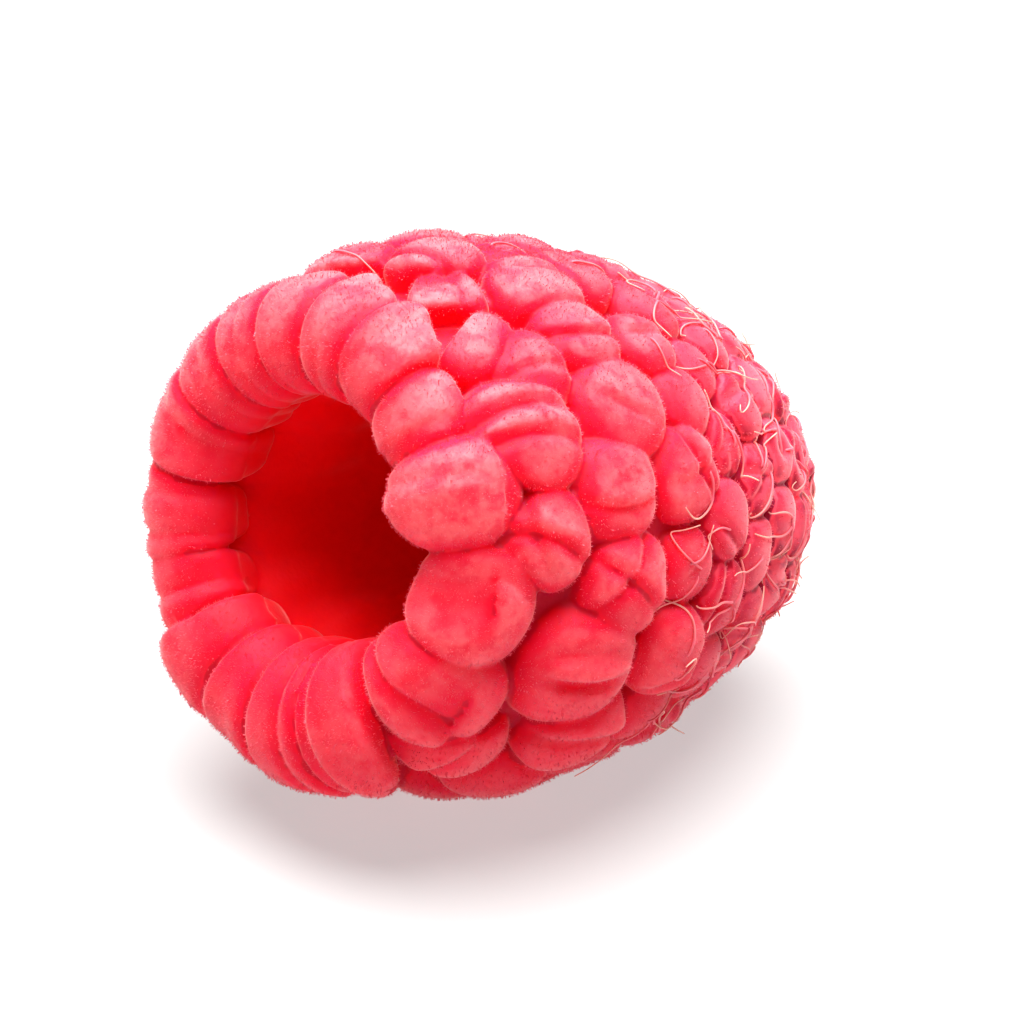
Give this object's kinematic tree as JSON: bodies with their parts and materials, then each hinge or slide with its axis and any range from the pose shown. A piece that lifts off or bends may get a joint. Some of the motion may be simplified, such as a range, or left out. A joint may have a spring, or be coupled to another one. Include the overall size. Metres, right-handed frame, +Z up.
{
  "type": "raspberry",
  "caption": "Ripe raspberry picked off its stalk, lying on its side: a hollow thimble of small rounded drupelets with an open mouth.",
  "frame": {"origin": "bottom centre of the fruit's box, on the surface that it lies on", "axes": "+Z up; -Y is where the open mouth faces, a little upwards; +Y is where the blunt tip points"},
  "size_m": [0.0206, 0.0252, 0.0204],
  "materials": {
    "flesh": "soft downy fruit skin"
  },
  "bodies": {
    "root": {"raspberry": "flesh"}
  },
  "joints": []
}
